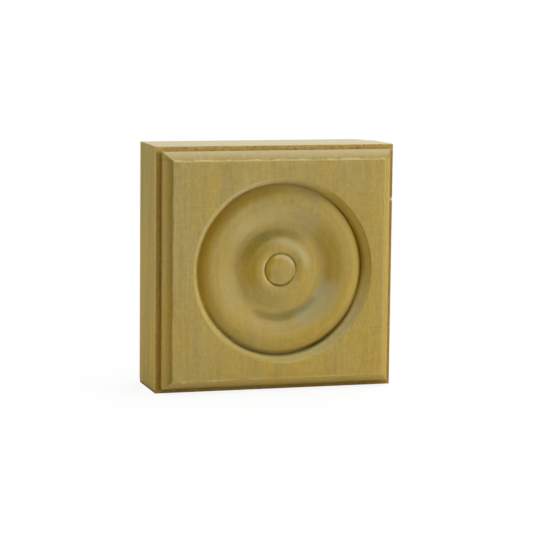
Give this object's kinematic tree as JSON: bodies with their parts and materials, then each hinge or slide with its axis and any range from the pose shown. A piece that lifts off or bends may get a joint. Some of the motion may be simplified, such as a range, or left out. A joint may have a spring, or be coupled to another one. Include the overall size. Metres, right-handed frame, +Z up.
{
  "type": "corner rosette block",
  "caption": "Square wooden corner block for door and window casing, with a stepped rounded edge and a turned bullseye recessed in its front face.",
  "frame": {"origin": "centre of the flat back face, which lies against the wall", "axes": "+X right, +Y back into the wall, +Z up along the grain; the carved front face looks along -Y"},
  "size_m": [0.0826, 0.0286, 0.0826],
  "materials": {
    "wood": "unfinished, sanded, matte"
  },
  "bodies": {
    "root": {"rosette_block": "wood"}
  },
  "joints": []
}
